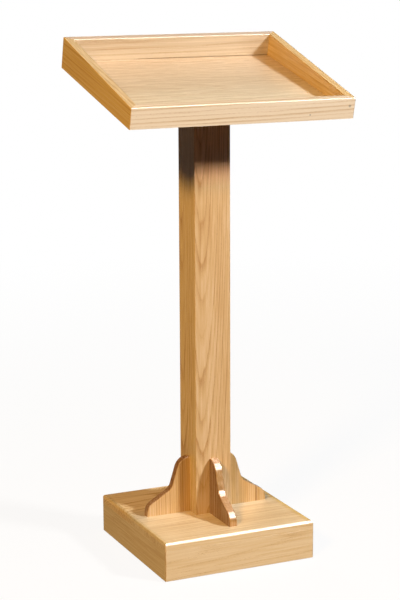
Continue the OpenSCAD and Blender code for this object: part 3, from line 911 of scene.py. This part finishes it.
# Painted light and shade on the floor: darker towards the back, lighter towards the front, and
# darker in a strip by the right rail, where its shadow falls.
FLOOR_PAINTED_SHADING = [("Y", 0.0, 0.17, (0.87, 0.8, 0.76)), ("Y", 0.0, -0.16, (1.26, 1.4, 1.52)),
               ("X", 0.19, 0.235, (0.86, 0.78, 0.7))]
floor_panel = block("lectern_tray_floor", (-half_w + housed, -half_l + housed, FLOOR_LIFT),
                    (half_w - housed, half_l - housed, floor_top))
break_edges(floor_panel, size=0.0005)
place_on_post(floor_panel)
wood = oak("oak_tray_floor", on_tray(0, 0, floor_top), "x_up", 90.0, WOOD["tray_floor"],
           pith=(-0.03, -0.10), ring=0.006, lean=(0.012, 0.05), lines=0.6, streaks=0.6,
           tilted=True, painted_shading=FLOOR_PAINTED_SHADING)
finish_piece(floor_panel, "tray_floor", wood)

# %% [markdown]
# ## Steel, nylon, filler and bare wood
# Nobody sees these pieces in the photograph, but a part is also looked at from below and taken
# apart. Zinc plating is a patchy bright grey, moulded nylon has a fine skin, and filler is dry.

# %% Small materials
def small_material(name, dark, light, mottles, roughness, metal=0.0):
    """A mottled finish: two colours, how many mottles to the metre, and how rough it is."""
    material, tree, shader = new_material(name)
    place = new_node(tree, "ShaderNodeTexCoord").outputs["Object"]
    mottle = noise(tree, place, (mottles,) * 3, 1.0, detail=4).outputs["Fac"]
    colour = ramp(tree, mottle, [(0.35, shade(*dark)), (0.65, shade(*light))])
    rough = maths(tree, 'MULTIPLY_ADD', mottle, 0.25, roughness)
    wire(shader, {"Base Color": colour, "Roughness": rough, "Metallic": metal})
    fine = noise(tree, place, (mottles * 4,) * 3, 5.0, detail=2).outputs["Fac"]
    relief(tree, shader, fine, strength=0.3, depth=0.0001)
    return material


STEEL = small_material("zinc_plated_steel", (186, 188, 194), (222, 221, 214), 500, 0.25, metal=0.65)
NYLON = small_material("moulded_nylon", (102, 84, 66), (124, 104, 82), 300, 0.35)
FILLER = small_material("wood_filler", (150, 128, 104), (186, 164, 136), 2500, 0.7)


def bare_wood(name, lie, seed, kind="softwood", centre=(0, 0, 0), tilted=False):
    """Planed wood without lacquer, for what is hidden; softwood has lines, beech has pores."""
    soft = kind == "softwood"
    return oak(name, centre, lie, seed, WOOD[kind], pith=(0.03, -0.05), ring=0.0032,
               lean=(0.01, 0.02), tilted=tilted, lines=1.5 if soft else 0.5,
               pores=0.0 if soft else 0.7, lacquer=False)


print("small materials:", STEEL.name, NYLON.name, FILLER.name)

# %% [markdown]
# ## Screws
# A countersunk screw has a flat head with a cross in it, a plain neck and a thread with a point.
# It is made head down, pointing up; the cross is cut by a boolean with two crossed blocks that a
# cone has trimmed, as a punch does it.

# %% A screw's thread
def threads(start, end, root, crest, pitch, tip):
    """The zigzag of a thread, up from start to end, in millimetres; it tapers over its tip."""
    profile, height = [], start
    while height < end - pitch / 2:
        taper = min(1, (end - height) / tip)
        profile += [(root * taper, height), (crest * taper, height + pitch * 0.35)]
        height += pitch
    return profile + [(0, end)]


def slant(piece, pitch, start):
    """Leans a thread's rings above a height to one side, as a winding thread looks: by a
    quarter of the pitch, and by less near the axis, where the tip is."""
    for vertex in piece.data.vertices:
        x, y, z = vertex.co
        if z > start / 1000:
            vertex.co.z += pitch / 4000 * x / max(0.0015, math.hypot(x, y))


# %% Wood screws
SCREW_PITCH = 2.2
SCREW_HEAD = [(0, 0), (4.6, 0), (4.75, 0.12), (2.4, 2.35), (2.1, 2.9)]
CROSS_LONG, CROSS_WIDE, CROSS_DEEP = 0.0024, 0.0006, 0.0021


def wood_screw(name, length):
    """A screw of a length in millimetres that points up from the origin, head at z = 0."""
    thread = threads(4.6, length, root=1.7, crest=2.4, pitch=SCREW_PITCH, tip=4.8)
    screw = lathe(name, SCREW_HEAD + thread)
    slant(screw, SCREW_PITCH, start=4.5)
    cross, arm = (block("cross", (-x, -y, -0.001), (x, y, CROSS_DEEP))
                  for x, y in ((CROSS_LONG, CROSS_WIDE), (CROSS_WIDE, CROSS_LONG)))
    punch = lathe("punch", [(0, -1), (2.7, -1), (2.4, 0), (0.9, 2.1), (0, 2.1)])
    carve(cross, arm, 'UNION')
    carve(cross, punch, 'INTERSECT')
    carve(screw, cross)
    remove(cross, arm, punch)
    smooth(screw)
    return screw


# %% [markdown]
# The plate's screws follow its slope, but the post is upright. So they start a little to the
# front, and straddle the post's middle where they hold, 16 mm below the plate.

# %% Placing the screws
TRAY_SPREAD, HEAD_SPREAD, HOLD_DEPTH = 0.08, 0.014, 0.016
drift = (HOLD_DEPTH - PLATE_LOW) * math.tan(TILT)
TRAY_SCREWS = [at(x, y, PLATE_LOW) for x in (-TRAY_SPREAD, TRAY_SPREAD)
               for y in (-TRAY_SPREAD, 0, TRAY_SPREAD)]
HEAD_SCREWS = [at(x, y - drift, FLOOR_LIFT) @ FLIP for x in (-HEAD_SPREAD, HEAD_SPREAD)
               for y in (-HEAD_SPREAD, HEAD_SPREAD)]


def fit_steel(pattern, places, node_name):
    """Steel copies of a pattern, which stand for one CAD node together."""
    for piece in copies(pattern, places):
        finish_piece(piece, node_name, STEEL)


fit_steel(wood_screw("lectern_bracket_screw", 47), BRACKET_SCREWS, "bracket_screws")
fit_steel(wood_screw("lectern_tray_screw", 28), [ON_TRAY @ p for p in TRAY_SCREWS], "tray_screws")
fit_steel(wood_screw("lectern_plate_screw", 51), [ON_TRAY @ p for p in HEAD_SCREWS], "plate_screws")

# %% [markdown]
# ## The mounting plate
# A plain board lies between post and tray. Its corners are round and its lower edges are eased,
# because that is what a hand under the tray meets. The screws' heads are sunk into it: a cutter
# of the screw's own shape, a little fatter, leaves the seats.

# %% Mounting plate
PLATE_HALF = 0.1
plate = block("lectern_mounting_plate", (-PLATE_HALF, -PLATE_HALF, PLATE_LOW),
              (PLATE_HALF, PLATE_HALF, FLOOR_LIFT))
round_edges(plate, upright, radius=0.012, steps=8)
round_edges(plate, both(lambda p: p.z < PLATE_LOW + CLOSE), radius=0.0015, steps=3)
seats = screw_seats(TRAY_SCREWS + HEAD_SCREWS)
carve(plate, seats)
remove(seats)
smooth(plate)
place_on_post(plate, ahead=0)
wood = bare_wood("softwood_plate", "x_up", 110.0, centre=on_tray(0, 0, 0), tilted=True)
finish_piece(plate, "mounting_plate", wood)

# %% [markdown]
# ## Bolts and washers
# Four hexagon-head bolts go up through the base into the foot of the post. The corners of such a
# head are turned off at a slant, which a boolean with a turned blank gives.

# %% Post bolts
FLATS_HALF, BOLT_HEAD_H, HALF_SECTOR = 0.0065, 0.0055, math.radians(30)
BOLT_PITCH, BOLT_SPREAD = 3.2, 0.0135
blank = lathe("blank", [(0, -5.5), (6.1, -5.5), (7.6, -4.6), (7.6, 0), (0, 0)], steps=48)
deselect()
bpy.ops.mesh.primitive_cylinder_add(
    vertices=6, radius=FLATS_HALF / math.cos(HALF_SECTOR), depth=BOLT_HEAD_H,
    location=(0, 0, -BOLT_HEAD_H / 2), rotation=(0, 0, HALF_SECTOR))
hexagon = named("lectern_post_bolt")
settle()
carve(hexagon, blank, 'INTERSECT')
remove(blank)
shank = lathe("shank", [(0, -2), (3.95, -2), (3.95, 27), (3.0, 28.5)]
              + threads(29, 79.6, root=3.0, crest=4.0, pitch=BOLT_PITCH, tip=8))
slant(shank, BOLT_PITCH, start=28.8)
bolt = joined([hexagon, shank])
smooth(bolt)
bolt_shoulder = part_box("post_washers")[0].z
BOLTS = [at(x, y, bolt_shoulder) for x in (-BOLT_SPREAD, BOLT_SPREAD)
         for y in (-BOLT_SPREAD, BOLT_SPREAD)]
fit_steel(bolt, BOLTS, "post_bolts")

# %% Washers
washer = lathe("lectern_post_washer", [
    (4.4, 0.2), (4.6, 0), (9.8, 0), (10, 0.2), (10, 1.4), (9.8, 1.6), (4.6, 1.6), (4.4, 1.4),
    (4.4, 0.2)], steps=48)
smooth(washer)
fit_steel(washer, BOLTS, "post_washers")

# %% [markdown]
# ## Glides
# Each corner stands on a nylon disc whose lower edge is slanted, so that it slides over a
# threshold. A nail with a low round head, sunk so that it never scratches the floor, holds it.

# %% Glides and their nails
GLUE_BLOCK_HALF = 0.019
GLIDE_CORNERS = {"front_left": (-1, -1), "front_right": (1, -1), "back_right": (1, 1),
                 "back_left": (-1, 1)}
glide_x, glide_y = (reach - BOARD - GLUE_BLOCK_HALF for reach in (BASE_HIGH.x, BASE_HIGH.y))
spots = [at(glide_x * x, glide_y * y, 0) for x, y in GLIDE_CORNERS.values()]
glide = lathe("lectern_glide", [
    (1.5, 2.55), (4.1, 2.55), (4.1, 0.3), (4.4, 0), (10.7, 0), (11.1, 0.1), (11.9, 0.9),
    (12, 1.3), (12, 4.7), (11.7, 5), (1.5, 5), (1.5, 2.55)], steps=48)
smooth(glide)
nail = lathe("lectern_glide_nail", [
    (0, 1), (1.6, 1.04), (2.8, 1.2), (3.6, 1.5), (3.95, 1.9), (4, 2.2), (3.9, 2.5), (1.4, 2.5),
    (1.4, 20), (0, 23)])
smooth(nail)
for piece, corner in zip(copies(glide, spots), GLIDE_CORNERS):
    finish_piece(piece, f"glide_{corner}", NYLON)
fit_steel(nail, spots, "glide_nails")

# %% [markdown]
# ## Dowels
# Two dowels hold each bracket to the post. A joiner's dowel has flutes that let the glue out and
# ends that are slanted to find the hole: every fourth side of a many-sided rod is pressed in.

# %% Dowels
DOWEL_R, DOWEL_L, DOWEL_IN_POST, DOWELS_UP = 0.004, 0.034, 0.012, (0.030, 0.095)
DOWEL_SIDES, FLUTE_EVERY, FLUTE_PRESS = 48, 4, 0.93
deselect()
bpy.ops.mesh.primitive_cylinder_add(
    vertices=DOWEL_SIDES, radius=DOWEL_R, depth=DOWEL_L, location=(0, 0, DOWEL_L / 2))
dowel = named("lectern_dowel")
settle()
for vertex in dowel.data.vertices:
    turn = math.atan2(vertex.co.y, vertex.co.x) / math.tau
    if round(turn * DOWEL_SIDES) % FLUTE_EVERY == 0:
        vertex.co.x *= FLUTE_PRESS
        vertex.co.y *= FLUTE_PRESS
round_edges(dowel, lambda a, b: abs(a.z - b.z) < SAME, radius=0.0008, steps=2)
smooth(dowel)
LYING = Matrix.Rotation(math.pi / 2, 4, 'Y')
DOWELS = [turn @ at(POST_HALF - DOWEL_IN_POST, 0, BASE_HIGH.z + up) @ LYING
          for turn in QUARTER_TURNS for up in DOWELS_UP]
beech = [bare_wood("beech_across", "x_up", 130.0, "beech"),
         bare_wood("beech_along", "y_up", 131.0, "beech")]
for number, piece in enumerate(copies(dowel, DOWELS)):
    finish_piece(piece, "bracket_dowels", beech[number // len(DOWELS_UP) % 2])

# %% [markdown]
# ## What stays as it is
# Blocks glued out of sight, and the pins with their filler, have the right shape already. They
# keep it, and get a finish.

# %% Finishes of the carried-over pieces
def paint(node_name, material):
    """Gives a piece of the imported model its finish, in each of its slots."""
    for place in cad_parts[node_name].material_slots:
        place.material = material
    print(node_name, "is", material.name)


upright_softwood = bare_wood("softwood_upright", "z_front", 120.0)
glue_blocks = [f"glue_block_{corner}" for corner in GLIDE_CORNERS]
for name in glue_blocks + ["post_foot_plug", "post_head_plug"]:
    paint(name, upright_softwood)
paint("bolt_block", bare_wood("softwood_lying", "x_up", 121.0))
paint("tray_pins", STEEL)
paint("tray_pin_fillers", FILLER)

# %% [markdown]
# ## The room
# Soft light comes from lamps with a wide face. The key lamp stands in front to the right, above
# the tray, because the photograph shows the tray's shadow high on the post and bright edges on
# the front bracket. A warm lamp on the left lights the sides, and a weak low one behind lights
# what is hidden and is kept out of reflections. A white card shows only in reflections.

# %% Lamps
LAMP_TARGET, WHITE = Vector((0, 0, 0.6)), (1, 1, 1)


def lamp(name, azimuth, elevation, distance, size, watts, colour=WHITE):
    """A soft square lamp that looks at the lectern; azimuth 0 is in front, 90 on the right."""
    a, e = math.radians(azimuth), math.radians(elevation)
    way = Vector((math.sin(a) * math.cos(e), -math.cos(a) * math.cos(e), math.sin(e)))
    deselect()
    bpy.ops.object.light_add(type='AREA', location=LAMP_TARGET + way * distance)
    light = named(name)
    light.rotation_mode = 'QUATERNION'
    light.rotation_quaternion = (-way).to_track_quat('-Z', 'Y')
    light.data.size = size
    light.data.energy = watts
    light.data.color = colour
    print(name, watts, "watts")
    return light


lamp("key_lamp", 40, 30, 6.0, size=0.7, watts=352)
lamp("left_lamp", -50, 31.5, 6.0, size=0.8, watts=322, colour=(1, 0.62, 0.26))
back_lamp = lamp("back_lamp", 180, 9, 6.0, size=1.0, watts=110)
back_lamp.visible_glossy = False
card = lamp("white_card", 40, 48, 6.1, size=5.4, watts=1500)
card.visible_diffuse = False

# %% [markdown]
# The white around the lectern is painted only for the camera and for reflections, so that it adds
# no light of its own. Near the lectern's foot the paper is a little less white. A dim pinkish
# light all round fills in what the lamps miss.

# %% Floor and background
def seen_directly(tree, in_gloss=0.05):
    """1 where the camera looks, straight or in a reflection, and 0 where light only bounces."""
    path = new_node(tree, "ShaderNodeLightPath")
    seen = path.outputs["Is Camera Ray"]
    seen = maths(tree, 'MULTIPLY_ADD', path.outputs["Is Glossy Ray"], in_gloss, seen)
    return maths(tree, 'ADD', seen, path.outputs["Is Transmission Ray"], clamp=True)


def mix_shaders(tree, amount, first, second, output):
    """Mixes two shaders by an amount, for the tree's output."""
    mix = new_node(tree, "ShaderNodeMixShader",
                   {0: amount, 1: first.outputs[0], 2: second.outputs[0]})
    wire(tree.nodes[output], {"Surface": mix.outputs[0]})


deselect()
bpy.ops.mesh.primitive_plane_add(size=40, location=(0, 0, 0))
ground = named("studio_floor")
paper, tree, matt = new_material("white_paper")
seen = seen_directly(tree)
wire(matt, {"Base Color": ramp(tree, seen, [(0, 0.05), (1, 0.92)]),
            "Roughness": 1, "Specular IOR Level": 0})
glow = new_node(tree, "ShaderNodeEmission", {"Color": (1, 1, 1, 1)})
FOOT_RADIUS, FADE_WIDTH = 0.7, 3.0
away = vectors(tree, 'LENGTH', new_node(tree, "ShaderNodeTexCoord").outputs["Object"])
away = maths(tree, 'SUBTRACT', away, FOOT_RADIUS)
away = maths(tree, 'DIVIDE', away, FADE_WIDTH, clamp=True)
whiteness = maths(tree, 'MULTIPLY', seen, maths(tree, 'MULTIPLY_ADD', away, 0.1, 0.9))
mix_shaders(tree, whiteness, matt, glow, "Material Output")
ground.data.materials.append(paper)
print(ground.name, "of", paper.name)

# %% World
world = bpy.data.worlds.new("studio")
bpy.context.scene.world = world
world.use_nodes = True
tree = world.node_tree
dim = tree.nodes["Background"]
wire(dim, {"Color": (1, 0.5, 0.75, 1), "Strength": 0.008})
white = new_node(tree, "ShaderNodeBackground", {"Color": (1, 1, 1, 1), "Strength": 1})
mix_shaders(tree, seen_directly(tree, in_gloss=0.03), dim, white, "World Output")
print("world:", world.name)

# %% [markdown]
# ## Last look
# The view transform is the plain one, so that a colour renders as it is written.

# %% Finish
bpy.context.scene.view_settings.view_transform = 'Standard'
